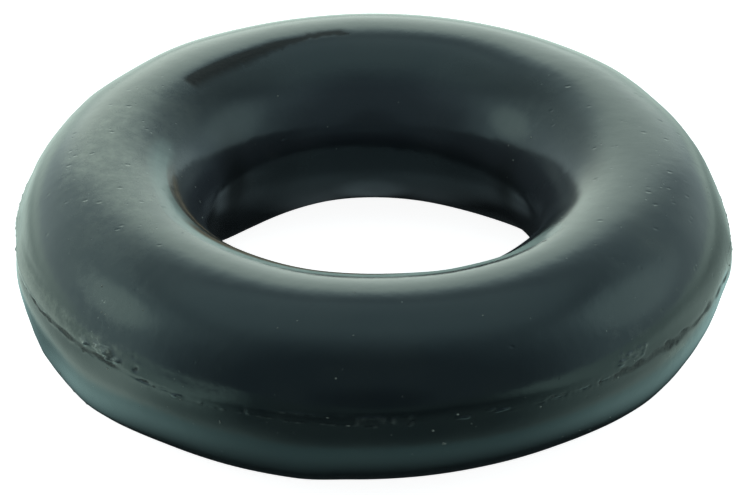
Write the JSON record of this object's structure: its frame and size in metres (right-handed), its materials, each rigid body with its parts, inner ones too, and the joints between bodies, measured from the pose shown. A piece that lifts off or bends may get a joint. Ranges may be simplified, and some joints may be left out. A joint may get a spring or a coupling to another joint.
{
  "type": "o-ring",
  "caption": "Moulded black rubber sealing ring of round section, with a trimmed flash line round its outside and in its hole.",
  "frame": {"origin": "centre of the ring: on its axis, at half its height", "axes": "+Z along the ring's axis, up when the ring lies flat; the ring looks alike on all sides but for its flash marks"},
  "size_m": [0.013, 0.0131, 0.0036],
  "materials": {
    "rubber": "satin black moulded rubber"
  },
  "bodies": {
    "root": {"o_ring": "rubber"}
  },
  "joints": []
}
